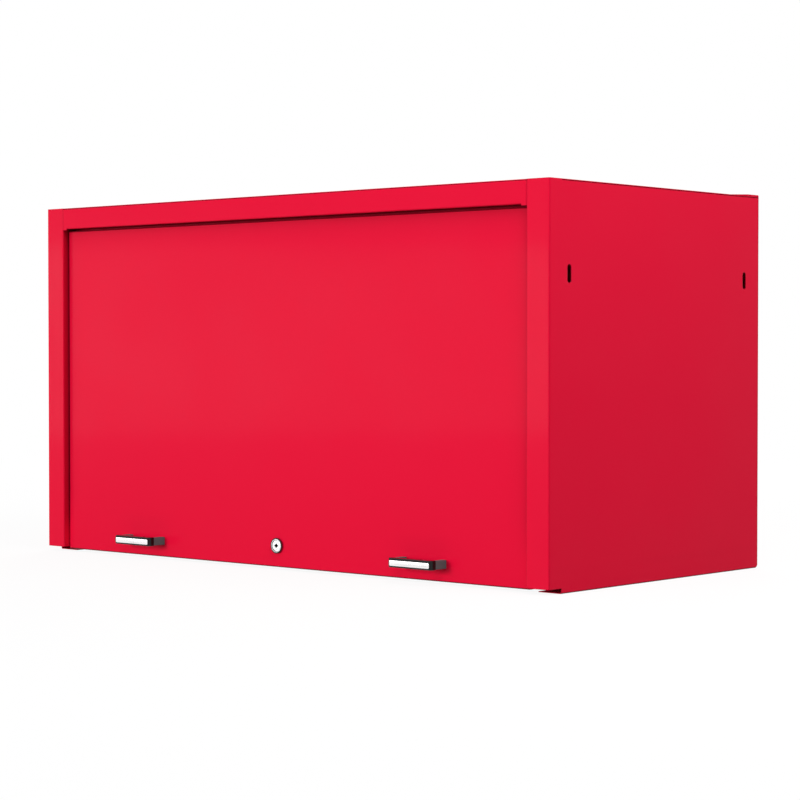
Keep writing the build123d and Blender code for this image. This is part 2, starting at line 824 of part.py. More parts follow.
def make_eye(centre, shank_end):
    """Eye with its bore across the strut and a round shank towards the tube or rod."""
    with BuildPart() as strut_eye:
        with BuildSketch(strut_plane):
            with Locations((centre, 0)):
                Circle(eye_d / 2)
        extrude(amount=eye_width / 2, both=True)
        revolve(outline(strut_plane, [
            (centre, 0), (centre, eye_neck_d / 2), (shank_end, eye_neck_d / 2), (shank_end, 0),
        ]), axis=strut_axis)
        with BuildSketch(strut_plane):
            with Locations((centre, 0)):
                Circle(stud_d / 2 + stud_fit)
        extrude(amount=eye_d, both=True, mode=Mode.SUBTRACT)
    return strut_eye


with BuildPart() as strut_tube:
    gland_r = strut_rod_d / 2 + strut_running_fit
    revolve(outline(strut_plane, [
        (tube_start, 0),
        (tube_start, strut_tube_d / 2 - tube_chamfer),
        (tube_start + tube_chamfer, strut_tube_d / 2),
        (tube_end - tube_neck_length, strut_tube_d / 2),
        (tube_end, strut_tube_d / 2 - tube_neck_depth),
        (tube_end, gland_r),
        (tube_end - gland_length, gland_r),
        (tube_end - gland_length, strut_bore_d / 2),
        (tube_start + tube_floor, strut_bore_d / 2),
        (tube_start + tube_floor, 0),
    ]), axis=strut_axis)
write_pair(strut_tube, "strut_tube")

write_pair(make_eye(0, tube_start), "strut_eye_lower")

with BuildPart() as strut_rod:
    piston_r = strut_bore_d / 2 - piston_fit
    revolve(outline(strut_plane, [
        (rod_start, 0),
        (rod_start, piston_r),
        (rod_start + piston_length, piston_r),
        (rod_start + piston_length, strut_rod_d / 2),
        (rod_end, strut_rod_d / 2),
        (rod_end, 0),
    ]), axis=strut_axis)
write_pair(strut_rod, "strut_rod")

write_pair(make_eye(strut_length, rod_end), "strut_eye_upper")


# Brackets that carry the struts: a hat on the side wall, an angle inside the door
bracket_face = strut_x + strut_tube_d / 2 + bracket_gap
with BuildPart() as strut_bracket:
    half = bracket_width / 2
    section = sheet_section(
        Plane.XY.offset(anchor_z - half),
        [
            (side_inner - bracket_sheet, anchor_y - half - bracket_foot),
            (side_inner - bracket_sheet, anchor_y - half),
            (bracket_face, anchor_y - half),
            (bracket_face, anchor_y + half),
            (side_inner - bracket_sheet, anchor_y + half),
            (side_inner - bracket_sheet, anchor_y + half + bracket_foot),
        ],
        thickness=bracket_sheet,
        side=Side.RIGHT,
    )
    extrude(section, amount=bracket_width)
    with BuildSketch(Plane.YZ.offset(bracket_face)):
        with Locations((anchor_y, anchor_z)):
            Circle(stud_shank_d / 2 + screw_fit)
    extrude(amount=bracket_sheet, mode=Mode.SUBTRACT)
write_pair(strut_bracket, "strut_bracket")

mount_face = strut_x - strut_tube_d / 2 - door_mount_gap
with BuildPart() as strut_mount:
    section = sheet_section(
        Plane.XY.offset(stud_z - mount_length / 2),
        [
            (mount_face - mount_base, door_inner),
            (mount_face, door_inner),
            (mount_face, stud_y + mount_beyond_stud),
        ],
        thickness=bracket_sheet,
    )
    extrude(section, amount=mount_length)
    with BuildSketch(Plane.YZ.offset(mount_face)):
        with Locations((stud_y, stud_z)):
            Circle(stud_shank_d / 2 + screw_fit)
    extrude(amount=-bracket_sheet, mode=Mode.SUBTRACT)
write_pair(strut_mount, "strut_mount")


def stud_profile(y, z, plate_face, plate_side, head_face):
    """Half section of a shouldered stud along X: riveted end, shank, shoulder and head."""
    rivet = plate_face + plate_side * bracket_sheet
    stations = [
        (rivet + plate_side * stud_head_height, stud_d / 2),
        (rivet, stud_shank_d / 2),
        (plate_face, stud_d / 2),
        (head_face, stud_head_d / 2),
        (head_face - plate_side * stud_head_height, 0),
    ]
    points = [(stations[0][0], z)]
    for (start, radius), (end, _) in zip(stations, stations[1:]):
        points += [(start, z + radius), (end, z + radius)]
    points.append((stations[-1][0], z))
    return outline(Plane.XZ.offset(-y), points)


eye_inner = strut_x - eye_width / 2 - stud_side_gap
eye_outer = strut_x + eye_width / 2 + stud_side_gap
with BuildPart() as strut_studs_cabinet:
    revolve(
        stud_profile(anchor_y, anchor_z, bracket_face, 1, eye_inner),
        axis=Axis((0, anchor_y, anchor_z), (1, 0, 0)),
    )
    mirror(about=Plane.YZ)
write(strut_studs_cabinet, "strut_studs_cabinet")

with BuildPart() as strut_studs_door:
    revolve(
        stud_profile(stud_y, stud_z, mount_face, -1, eye_outer),
        axis=Axis((0, stud_y, stud_z), (1, 0, 0)),
    )
    mirror(about=Plane.YZ)
write(strut_studs_door, "strut_studs_door")
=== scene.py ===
import json
import math

import bmesh
import bpy
import numpy as np
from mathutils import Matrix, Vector


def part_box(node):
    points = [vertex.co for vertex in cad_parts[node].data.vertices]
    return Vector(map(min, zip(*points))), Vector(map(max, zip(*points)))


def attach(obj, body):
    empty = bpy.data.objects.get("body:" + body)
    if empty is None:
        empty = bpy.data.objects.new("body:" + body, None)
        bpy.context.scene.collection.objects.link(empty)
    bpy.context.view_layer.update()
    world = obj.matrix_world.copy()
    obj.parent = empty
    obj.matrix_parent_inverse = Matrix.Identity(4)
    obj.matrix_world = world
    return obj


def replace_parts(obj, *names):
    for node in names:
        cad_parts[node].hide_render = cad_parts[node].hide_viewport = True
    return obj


# Looks of a tool chest hutch. Metres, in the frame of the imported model:
# X to the right, Y to the back, Z up, the base on z = 0.

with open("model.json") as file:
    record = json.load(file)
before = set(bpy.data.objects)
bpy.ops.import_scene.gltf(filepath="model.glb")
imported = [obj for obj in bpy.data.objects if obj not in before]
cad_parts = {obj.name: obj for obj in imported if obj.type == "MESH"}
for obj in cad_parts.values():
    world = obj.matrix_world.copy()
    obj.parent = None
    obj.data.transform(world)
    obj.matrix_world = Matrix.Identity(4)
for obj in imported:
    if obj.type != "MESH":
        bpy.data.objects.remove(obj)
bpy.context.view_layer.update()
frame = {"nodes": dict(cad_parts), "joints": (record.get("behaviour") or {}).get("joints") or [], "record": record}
nodes = frame["nodes"]
joints = {joint["name"]: joint for joint in frame["joints"]}
carrier = {name: body for body, held in frame["record"]["behaviour"]["bodies"].items() for name in held}
sides = ((-1, "left"), (1, "right"))

# Camera, recovered from the two vanishing points of the photograph
camera_place = (2.88302, -3.23082, 0.40668)
camera_azimuth = 41.431
camera_pitch = 1.299
camera_lens = 100.21
sensor_width = 36.0

# Lamps: place, aim, width and height, power. The veil shows only as a reflection, the others never do.
object_middle = (0.0, 0.0, 0.34)
lamps = {
    "key": ((-1.3, -6.0, 1.0), object_middle, (1.8, 1.6), 200.0),
    "side": ((1.80, -0.4, 2.25), (0.64, -0.1, 0.7), (2.2, 1.0), 44.0),
    "rear": ((-3.0, 4.6, 3.0), object_middle, (3.0, 2.4), 190.0),
    "veil": ((-4.6, -5.0, 0.45), (0.0, -0.3, 0.3), (4.2, 0.9), 34.0),
}
glossy_only = ("veil",)
diffuse_only = ("key", "side", "rear")

# Sky and floor
ambient_strength = 0.46
floor_tone_seen = 0.95
floor_tone_bounced = 0.3
floor_white_share = 0.92
floor_fade = (1.2, 4.0)
floor_half = 400.0
floor_drop = 0.0002

# Colours, linear
red = (0.79, 0.0045, 0.038, 1.0)
# Painted shade: deep red along edges, a darker red on folds, near-black red in recesses
edge_shade_red = (0.36, 0.001, 0.016, 1.0)
fold_shade_red = (0.14, 0.0005, 0.006, 1.0)
recess_shade_red = (0.02, 0.0, 0.001, 1.0)
primer = (0.33, 0.30, 0.29, 1.0)
dust_grey = (0.6, 0.5, 0.5, 1.0)
rubbed_grey = (0.2, 0.2, 0.2, 1.0)
leg_greys = ((0.095, 0.140, 0.145, 1.0), (0.105, 0.155, 0.160, 1.0))
bar_blacks = ((0.006, 0.007, 0.007, 1.0), (0.010, 0.010, 0.011, 1.0))
white = (1.0, 1.0, 1.0, 1.0)

# Sizes that the CAD has too
sheet = 0.0015
bracket_sheet = 0.002
outer_bend = 0.0025
hat_flange = 0.012
leg_width = 0.010
bar_depth = 0.012
tube_start = 0.020
tube_radius = 0.009
tube_bore = 0.0075
tube_floor = 0.004
eye_reach = 0.017
eye_half = 0.0045
rod_shown = 0.038
rod_radius = 0.004
running_fit = 0.0001
gland_length = 0.012

# Welds: pitch, distance of a row's ends from the part's ends, and of its line from the part's edge
weld_pitch = 0.065
weld_margin = 0.03
rear_weld_inset = 0.011
roof_weld_inset = 0.014
rail_weld_inset = 0.009
weld_mark_radii = (0.0022, 0.0038)

# The ground bead beside the fascia, as points (distance outwards from the post's inner edge, depth)
weld_gap = 0.0003
ground_depth = 0.00012
bead_section = ((-weld_gap, ground_depth), (outer_bend, 0.00002), (outer_bend, 0.0005), (0.0009, 0.0014),
                (-weld_gap, 0.0020), (-weld_gap, ground_depth))

# Rivets: head radii, and how far from a part's edge and from its middle they sit
bracket_rivet = 0.0032
small_rivet = 0.0028
bracket_rivet_inset, bracket_rivet_spread = 0.009, 0.015
foot_rivet_inset = 0.0065
foot_rivet_spreads = {"strut_mount": 0.012, "rod_guide": 0.006}
stop_rivet_inset, stop_rivet_spread = 0.006, 0.012
leaf_rivet_height, leaf_rivet_margin, leaf_rivet_pitch = 0.008, 0.025, 0.1

# Screws: radius and height of the head, radius of the shank, and its length where the box doesn't give it
handle_head_radius, handle_head_height = 0.0045, 0.003
handle_shank_radius, handle_shank_length = 0.0024, 0.015
cam_head_radius, cam_head_height, cam_shank_radius = 0.005, 0.002, 0.0017

# Handle strips: half sizes, corners, edges, the bed's rise and width below, and how deep the strip sits in it
strip_half_length, strip_half_height = 0.0455, 0.0049
strip_corner, bed_corner = 0.0022, 0.0028
strip_edge, bed_edge = 0.00045, 0.0003
bed_rise, bed_below, strip_sunk = 0.00015, 0.0003, 0.0001


# Node helpers

def node(tree, kind, values=None, **settings):
    """A new node: settings are its attributes, values its sockets, each a link or a plain value."""
    made = tree.nodes.new(kind)
    for key, value in settings.items():
        setattr(made, key, value)
    for socket, value in (values or {}).items():
        set_or_link(tree, made.inputs[socket], value)
    return made


def set_or_link(tree, socket, value):
    """Link the value to the socket if it is a socket too, or else set it."""
    if isinstance(value, bpy.types.NodeSocket):
        tree.links.new(value, socket)
    else:
        socket.default_value = value


def calculate(tree, operation, first, second=0.0, clamp=False):
    """Output of a Math node."""
    values = {0: first, 1: second}
    return node(tree, "ShaderNodeMath", values, operation=operation, use_clamp=clamp).outputs[0]


def times(tree, first, second):
    """Product of two values."""
    return calculate(tree, "MULTIPLY", first, second)


def plus(tree, first, second, clamp=False):
    """Sum of two values."""
    return calculate(tree, "ADD", first, second, clamp)


def remap(tree, value, low, high, to_low=0.0, to_high=1.0):
    """Output of a clamped Map Range node."""
    values = {"Value": value, "From Min": low, "From Max": high, "To Min": to_low, "To Max": to_high}
    return node(tree, "ShaderNodeMapRange", values, clamp=True).outputs["Result"]


def split(tree, vector):
    """The three parts of a vector, by axis."""
    return node(tree, "ShaderNodeSeparateXYZ", {0: vector}).outputs


def blend_colour(tree, share, first, second):
    """Output of a colour Mix node."""
    mix = node(tree, "ShaderNodeMix", data_type="RGBA")
    factor, colour_a, colour_b = mix.inputs[0], mix.inputs[6], mix.inputs[7]
    for socket, value in ((factor, share), (colour_a, first), (colour_b, second)):
        set_or_link(tree, socket, value)
    return mix.outputs[2]


def tint(tree, colour, other, mask, share):
    """The colour turned towards another: by the share where the mask is 1."""
    return blend_colour(tree, times(tree, mask, share), colour, other)


def scaled(colour, factor, lift=0.0):
    """A plain colour times a factor, plus a lift, at most 1."""
    return (*(min(1.0, channel * factor + lift) for channel in colour[:3]), 1.0)


def noise(tree, place, scale, detail=2.0, roughness=0.5):
    """Value of a noise texture."""
    values = {"Vector": place, "Scale": scale, "Detail": detail, "Roughness": roughness}
    return node(tree, "ShaderNodeTexNoise", values).outputs[0]


def object_place(tree):
    """Object coordinates."""
    return node(tree, "ShaderNodeTexCoord").outputs["Object"]


def object_normal(tree):
    """The normal in the object's own axes."""
    return node(tree, "ShaderNodeTexCoord").outputs["Normal"]


def new_group(name, inputs, outputs):
    """A shader node group: inputs are (label, value), outputs (label, socket type)."""
    tree = bpy.data.node_groups.new(name, "ShaderNodeTree")
    for label, value in inputs:
        kind = "NodeSocketVector" if isinstance(value, tuple) else "NodeSocketFloat"
        tree.interface.new_socket(name=label, in_out="INPUT", socket_type=kind).default_value = value
    for label, kind in outputs:
        tree.interface.new_socket(name=label, in_out="OUTPUT", socket_type=kind)
    return tree, node(tree, "NodeGroupInput").outputs, node(tree, "NodeGroupOutput")


def place_group(tree, group, **values):
    """The group's outputs, placed in a material with its own values."""
    labels = {label.replace("_", " ").capitalize(): value for label, value in values.items()}
    return node(tree, "ShaderNodeGroup", labels, node_tree=group).outputs


def give(tree, output, **sockets):
    """Link values to a group's outputs."""
    for label, value in sockets.items():
        tree.links.new(value, output.inputs[label.replace("_", " ").capitalize()])


# Shared effects

def make_orange_peel():
    """Relief of a sprayed or powder coat: rounded cells, finer grain and a slow waviness of the sheet."""
    tree, given, output = new_group("orange_peel", [("Cell size", 0.0014)],
                                    [("Height", "NodeSocketFloat"), ("Waviness", "NodeSocketFloat")])
    place = object_place(tree)
    scale = calculate(tree, "DIVIDE", 1.0, given["Cell size"])
    cells = noise(tree, place, scale, detail=1.0)
    grain = noise(tree, place, times(tree, scale, 3.1))
    give(tree, output, height=plus(tree, cells, times(tree, grain, 0.25)),
         waviness=noise(tree, place, 3.4, detail=1.0))
    return tree


def make_edge_line():
    """Mask of folded and cut edges, from how far the normal turns within the radius, and that soft normal."""
    tree, given, output = new_group("edge_line", [("Radius", 0.0018), ("Breakup", 0.4)],
                                    [("Edge", "NodeSocketFloat"), ("Normal", "NodeSocketVector")])
    soft = node(tree, "ShaderNodeBevel", {"Radius": given["Radius"]}, samples=4).outputs[0]
    flat = node(tree, "ShaderNodeNewGeometry").outputs["True Normal"]
    turn = node(tree, "ShaderNodeVectorMath", {0: soft, 1: flat}, operation="DOT_PRODUCT").outputs["Value"]
    patchy = remap(tree, noise(tree, object_place(tree), 90.0, detail=3.0), 0.3, 0.7)
    kept = calculate(tree, "SUBTRACT", 1.0, times(tree, given["Breakup"], patchy))
    give(tree, output, edge=times(tree, remap(tree, turn, 0.995, 0.85), kept), normal=soft)
    return tree


def make_handling():
    """Faint smudges and settled dust: patchy everywhere, and more on faces that look up."""
    tree, given, output = new_group("handling", [("Smudge scale", 9.0), ("Dust", 0.3)],
                                    [("Smudge", "NodeSocketFloat"), ("Dust", "NodeSocketFloat")])
    place = object_place(tree)
    smudge = remap(tree, noise(tree, place, given["Smudge scale"]), 0.3, 0.8)
    up = split(tree, node(tree, "ShaderNodeNewGeometry").outputs["Normal"])["Z"]
    speckle = remap(tree, noise(tree, place, 420.0, detail=4.0), 0.45, 0.75)
    settled = times(tree, remap(tree, up, 0.5, 1.0), speckle)
    give(tree, output, smudge=smudge, dust=times(tree, settled, given["Dust"]))
    return tree


def make_streaks():
    """Brush or drawing lines: noise squeezed across the line direction by the stretch."""
    tree, given, output = new_group("streaks", [("Stretch", (1.0, 1.0, 1.0)), ("Scale", 900.0)],
                                    [("Line", "NodeSocketFloat"), ("Scratch", "NodeSocketFloat")])
    drawn = node(tree, "ShaderNodeVectorMath", {0: object_place(tree), 1: given["Stretch"]},
                 operation="MULTIPLY").outputs[0]
    line = noise(tree, drawn, given["Scale"], detail=4.0, roughness=0.7)
    deeper = noise(tree, drawn, times(tree, given["Scale"], 0.31), detail=1.0)
    give(tree, output, line=line, scratch=remap(tree, deeper, 0.66, 0.72))
    return tree


def make_recess_shade():
    """Mask of recesses for painted shade: how much of the sky is hidden near by.

    It fades out towards the foot of the object, which the floor hides, so that the floor's shade is not painted.
    """
    tree, given, output = new_group("recess", [("Reach", 0.05), ("Foot", 0.03)],
                                    [("Recess", "NodeSocketFloat")])
    hidden = node(tree, "ShaderNodeAmbientOcclusion", {"Distance": given["Reach"]}, samples=12).outputs["AO"]
    height = split(tree, object_place(tree))["Z"]
    above = remap(tree, height, given["Foot"], times(tree, given["Foot"], 2.5))
    give(tree, output, recess=times(tree, calculate(tree, "SUBTRACT", 1.0, hidden), above))
    return tree


def make_fold_shade():
    """Mask of painted shade on rounded folds: how far the object's own normal turns from the nearest of its three
    axes.

    Folds that turn up are marked on their lower half, the front's most. The upright ones count less,
    and those that turn down only near the foot.
    """
    tree, _, output = new_group("fold_shade", [], [("Fold", "NodeSocketFloat")])
    own = object_normal(tree)
    up = split(tree, own)["Z"]
    part = split(tree, node(tree, "ShaderNodeVectorMath", {0: own}, operation="ABSOLUTE").outputs[0])
    nearest = calculate(tree, "MAXIMUM", calculate(tree, "MAXIMUM", part["X"], part["Y"]), part["Z"])
    low = remap(tree, split(tree, object_place(tree))["Z"], 0.05, 0.03)
    level = remap(tree, remap(tree, up, -0.05, -0.2), 0.0, 1.0, 0.18, low)
    any_way = times(tree, remap(tree, nearest, 0.995, 0.93), level)
    band = times(tree, remap(tree, up, 0.0, 0.08), remap(tree, up, 0.7, 0.5))
    rising = times(tree, band, remap(tree, part["X"], 0.1, 0.4, 0.9, 0.24))
    give(tree, output, fold=calculate(tree, "MAXIMUM", any_way, rising))
    return tree


def make_weld_marks():
    """Dimples of spot welds seen from outside, at an even pitch up a line and its mirror image.

    The height is 1 on the sheet and falls to 0 within a weld's radius of each place.
    """
    tree, given, output = new_group(
        "weld_marks", [("Line", 0.0), ("Start", 0.0), ("Pitch", weld_pitch), ("Last", 9.0)],
        [("Height", "NodeSocketFloat")])
    place = split(tree, object_place(tree))
    across = calculate(tree, "SUBTRACT", calculate(tree, "ABSOLUTE", place["X"]), given["Line"])
    along = calculate(tree, "SUBTRACT", place["Z"], given["Start"])
    step = calculate(tree, "ROUND", calculate(tree, "DIVIDE", along, given["Pitch"]))
    step = calculate(tree, "MINIMUM", calculate(tree, "MAXIMUM", step, 0.0), given["Last"])
    left = calculate(tree, "SUBTRACT", along, times(tree, step, given["Pitch"]))
    squares = plus(tree, times(tree, across, across), times(tree, left, left))
    give(tree, output, height=remap(tree, calculate(tree, "SQRT", squares), *weld_mark_radii))
    return tree


orange_peel = make_orange_peel()
edge_line = make_edge_line()
recess = make_recess_shade()
fold_shade = make_fold_shade()
weld_marks = make_weld_marks()
handling = make_handling()
streaks = make_streaks()


# Materials

def blank_material(name):
    """A new material with an empty node tree."""
    material = bpy.data.materials.new(name)
    material.use_nodes = True
    material.node_tree.nodes.clear()
    return material, material.node_tree


def finish_material(tree, plain, linked):
    """A Principled BSDF with plain values on its sockets and links for what varies."""
    shader = node(tree, "ShaderNodeBsdfPrincipled", {**plain, **linked})
    node(tree, "ShaderNodeOutputMaterial", {"Surface": shader.outputs[0]})


def bump(tree, height, distance, strength=1.0, normal=None):
    """Normal of a Bump node over another normal, or over the surface's own."""
    values = {"Height": height, "Distance": distance, "Strength": strength}
    if normal is not None:
        values["Normal"] = normal
    return node(tree, "ShaderNodeBump", values).outputs[0]


def make_red_coat(name, foot=0.03, recess_shade_share=0.7, front_shine=1.0, weld_lines=()):
    """Gloss red powder coat: slow colour drift, painted shade along edges, folds and recesses, primer at worn
    edges.

    The recesses' painted shade fades out below two and a half times the foot. The clear coat is
    front_shine times as strong on faces that look to the front.
    (distance from the middle, lowest weld, pitch, number of the last weld).
    """
    material, tree = blank_material(name)
    place = object_place(tree)
    peel = place_group(tree, orange_peel, cell_size=0.0014)
    edges = place_group(tree, edge_line, radius=0.0022, breakup=0.35)
    touched = place_group(tree, handling, smudge_scale=7.0, dust=0.25)
    fold = place_group(tree, fold_shade)["Fold"]
    hollow = place_group(tree, recess, reach=0.05, foot=foot)["Recess"]
    drift = remap(tree, noise(tree, place, 1.3, detail=1.0), 0.35, 0.65)
    colour = blend_colour(tree, drift, red, scaled(red, 1.012, 0.0005))
    # Painted shade: a deep red along edges
    colour = tint(tree, colour, edge_shade_red, edges["Edge"], 0.45)
    # Painted shade: a darker red on folds
    colour = tint(tree, colour, fold_shade_red, fold, 0.95)
    # Painted shade: near-black red in recesses, by how much of the sky is hidden near by
    colour = tint(tree, colour, recess_shade_red, hollow, recess_shade_share)
    low = remap(tree, split(tree, place)["Z"], 0.03, 0.0)
    chips = remap(tree, noise(tree, place, 260.0, detail=4.0), 0.62, 0.66)
    worn = times(tree, times(tree, edges["Edge"], chips), times(tree, low, 0.48))
    colour = blend_colour(tree, worn, colour, primer)
    colour = tint(tree, colour, dust_grey, touched["Dust"], 0.25)
    roughness = plus(tree, 0.22, times(tree, touched["Smudge"], 0.06))
    roughness = plus(tree, roughness, times(tree, worn, 0.3))
    normal = bump(tree, peel["Waviness"], 0.0006, normal=edges["Normal"])
    normal = bump(tree, peel["Height"], 0.00003, strength=0.6, normal=normal)
    for line, start, pitch, last in weld_lines:
        marks = place_group(tree, weld_marks, line=line, start=start, pitch=pitch, last=last)
        normal = bump(tree, marks["Height"], 0.0003, normal=normal)
    shine = remap(tree, split(tree, object_normal(tree))["Y"], -0.9, -0.99, 1.0, front_shine)
    coat = times(tree, remap(tree, touched["Smudge"], 0.0, 1.0, 0.03, 0.015), shine)
    finish_material(
        tree,
        {"Specular IOR Level": 0.025, "Coat Roughness": 0.06},
        {"Base Color": colour, "Roughness": roughness, "Normal": normal, "Coat Weight": coat},
    )
    return material


def make_metal(name, tone, second_tone, roughness, stretch=(1.0, 1.0, 1.0), line_scale=900.0,
               line_depth=0.00001, dull=0.12):
    """Bare or plated metal: two tones in slow patches, brush lines, scratches and duller edges."""
    material, tree = blank_material(name)
    place = object_place(tree)
    lines = place_group(tree, streaks, stretch=stretch, scale=line_scale)
    edges = place_group(tree, edge_line, radius=0.0008, breakup=0.5)
    touched = place_group(tree, handling, smudge_scale=38.0, dust=0.15)
    patches = remap(tree, noise(tree, place, 24.0, detail=3.0), 0.35, 0.65)
    colour = blend_colour(tree, patches, tone, second_tone)
    colour = tint(tree, colour, scaled(tone, 0.6), lines["Scratch"], 0.35)
    rough = plus(tree, roughness, times(tree, touched["Smudge"], dull))
    rough = plus(tree, rough, times(tree, lines["Line"], dull * 0.5))
    rough = plus(tree, rough, times(tree, edges["Edge"], 0.08))
    normal = bump(tree, lines["Line"], line_depth, strength=0.5, normal=edges["Normal"])
    finish_material(tree, {"Metallic": 1.0}, {"Base Color": colour, "Roughness": rough, "Normal": normal})
    return material


def make_dark_metal(name, tone, worn_tone, roughness, grain=0.0009, specular=0.5):
    """Painted or anodised dark metal, or rubber, with a fine grain and lighter, rubbed edges."""
    material, tree = blank_material(name)
    peel = place_group(tree, orange_peel, cell_size=grain)
    edges = place_group(tree, edge_line, radius=0.0007, breakup=0.6)
    touched = place_group(tree, handling, smudge_scale=30.0, dust=0.2)
    drift = remap(tree, noise(tree, object_place(tree), 30.0, detail=3.0), 0.35, 0.65)
    colour = blend_colour(tree, drift, tone, scaled(tone, 1.18))
    colour = tint(tree, colour, worn_tone, edges["Edge"], 0.45)
    rough = plus(tree, roughness, times(tree, touched["Smudge"], 0.12))
    normal = bump(tree, peel["Height"], 0.00002, strength=0.6, normal=edges["Normal"])
    finish_material(tree, {"Specular IOR Level": specular},
                    {"Base Color": colour, "Roughness": rough, "Normal": normal})
    return material


def make_handle_metal(name, bar_back):
    """Handle: gloss black on the bar, satin grey on the legs behind it, parted where the bar ends."""
    material, tree = blank_material(name)
    place = object_place(tree)
    leg = remap(tree, split(tree, place)["Y"], bar_back - 0.0004, bar_back + 0.0004)
    peel = place_group(tree, orange_peel, cell_size=0.0007)
    edges = place_group(tree, edge_line, radius=0.0007, breakup=0.5)
    touched = place_group(tree, handling, smudge_scale=55.0, dust=0.2)
    drift = remap(tree, noise(tree, place, 60.0, detail=3.0), 0.35, 0.65)
    bar_tone, leg_tone = (blend_colour(tree, drift, *tones) for tones in (bar_blacks, leg_greys))
    colour = tint(tree, blend_colour(tree, leg, bar_tone, leg_tone), rubbed_grey, edges["Edge"], 0.2)
    rough = plus(tree, remap(tree, leg, 0.0, 1.0, 0.10, 0.55), times(tree, touched["Smudge"], 0.05))
    normal = bump(tree, peel["Height"], 0.000015, strength=0.6, normal=edges["Normal"])
    finish_material(tree, {"Specular IOR Level": 0.2},
                    {"Base Color": colour, "Roughness": rough, "Normal": normal})
    return material


# Mesh helpers

def mesh_piece(name, grids, body, material, smooth_angle=40.0):
    """One mesh from grids of points, each rows by columns by 3, joined row to row and column to column.

    Points that coincide, as at a pole or a seam, are merged, and the normals turned outwards.
    """
    points, faces, start = [], [], 0
    for grid in grids:
        rows, columns = grid.shape[:2]
        index = start + np.arange(rows * columns).reshape(rows, columns)
        quads = np.stack([index[:-1, :-1], index[1:, :-1], index[1:, 1:], index[:-1, 1:]], axis=-1)
        points.append(grid.reshape(-1, 3))
        faces.append(quads.reshape(-1, 4))
        start += rows * columns
    mesh = bpy.data.meshes.new(name)
    mesh.from_pydata(np.concatenate(points).tolist(), [], np.concatenate(faces).tolist())
    work = bmesh.new()
    work.from_mesh(mesh)
    bmesh.ops.remove_doubles(work, verts=work.verts, dist=1e-7)
    bmesh.ops.dissolve_degenerate(work, edges=work.edges, dist=1e-8)
    bmesh.ops.recalc_face_normals(work, faces=work.faces)
    work.to_mesh(mesh)
    work.free()
    mesh.shade_smooth()
    mesh.set_sharp_from_angle(angle=math.radians(smooth_angle))
    mesh.materials.append(material)
    piece = bpy.data.objects.new(name, mesh)
    bpy.context.scene.collection.objects.link(piece)
    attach(piece, body)
    return piece


def quarter_turn(count):
    """That many angles from 0 to a right angle."""
    return np.linspace(0.0, math.pi / 2, count)


def turned(profile, centre, axis, spokes=48):
    """Grid of a turned form: the profile's (radius, distance along the axis) swept through a full circle."""
    axis = np.asarray(axis, float) / np.linalg.norm(axis)
    helper = np.array([1.0, 0.0, 0.0]) if abs(axis[0]) < 0.9 else np.array([0.0, 0.0, 1.0])
    across = np.cross(axis, helper)
    across /= np.linalg.norm(across)
    other = np.cross(axis, across)
    angle = np.linspace(0.0, 2 * math.pi, spokes + 1)
    circle = np.cos(angle)[:, None] * across + np.sin(angle)[:, None] * other
    radius, along = np.asarray(profile, float).T
    return np.asarray(centre) + radius[:, None, None] * circle[None] + (along[:, None] * axis)[:, None]


def rounded_corner(radius, height, round_by):
    """Profile points of a turned form's outer front corner: a quarter circle of radius round_by."""
    angle = quarter_turn(6)
    inwards, backwards = round_by * (1 - np.cos(angle)), round_by * (1 - np.sin(angle))
    return np.stack([radius - inwards, height - backwards], axis=-1)


def rounded_plate(centre, half_length, half_height, corner, back, front, edge):
    """Grid of a plate with round corners and a quarter-round edge, facing the front, closed at both sides.

    Each row is a rounded rectangle at an inset and a depth; the first and last rows shrink to a line.
    """
    steps = 7
    turn = np.concatenate([quarter_turn(steps) + k * math.pi / 2 for k in range(4)] + [[0.0]])
    right = np.repeat([1, -1, 1], [steps, 2 * steps, steps + 1])
    upper = np.repeat([1, -1, 1], [2 * steps, 2 * steps, 1])
    bend = quarter_turn(6)
    insets = [half_height, 0.0, *(edge * (1 - np.cos(bend))), half_height]
    depths = [back, back, *(front + edge * (1 - np.sin(bend))), front]
    rows = []
    for inset, depth in zip(insets, depths):
        left_over = max(corner - inset, 0.0)
        x = right * (half_length - inset - left_over) + left_over * np.cos(turn)
        z = upper * (half_height - inset - left_over) + left_over * np.sin(turn)
        rows.append(np.stack([centre[0] + x, np.full(x.shape, depth), centre[1] + z], axis=-1))
    return np.stack(rows)


def cross_head(centre, axis, radius, height, shank_radius, shank_length, rings=30, spokes=96):
    """Grid of a pan-head screw: a dome, radius by angle, with a cross pressed in, closed by its shank.

    The dome is height times (1 - (1 - rim) (r / R)^4), rim being its share left at the edge. The
    cross lowers it by a smooth step in the lesser of the two distances from the arms' centre lines.
    """
    rim = 0.28
    arm_half, arm_reach, slope, depth = radius * 0.13, radius * 0.62, radius * 0.07, height * 0.62
    axis = np.asarray(axis, float)
    across = np.cross(axis, (0.0, 0.0, 1.0))
    across /= np.linalg.norm(across)
    other = np.cross(axis, across)
    angle = np.linspace(0.0, 2 * math.pi, spokes + 1)
    share = np.linspace(0.0, 1.0, rings)[:, None]
    u = share * np.cos(angle) * radius
    v = share * np.sin(angle) * radius
    near_arm = np.minimum(np.abs(u), np.abs(v))
    reach = np.maximum(np.abs(u), np.abs(v))
    within_width = np.clip((arm_half - near_arm) / slope + 0.5, 0.0, 1.0)
    within_reach = np.clip((arm_reach - reach) / slope, 0.0, 1.0)
    dome = height * (1.0 - (1.0 - rim) * np.broadcast_to(share, u.shape)**4)
    dome = dome - depth * within_width * within_reach
    centre = np.asarray(centre)
    top = centre + u[..., None] * across + v[..., None] * other + dome[..., None] * axis
    skirt = turned([(radius, height * rim), (radius, 0.0), (shank_radius, 0.0), (shank_radius, -shank_length),
                    (0.0, -shank_length)], (0, 0, 0), (0, 0, 1), spokes)
    rows = [centre + row[:, :1] * across + row[:, 1:2] * other + row[:, 2:] * axis for row in skirt]
    return np.concatenate([top, np.stack(rows)])


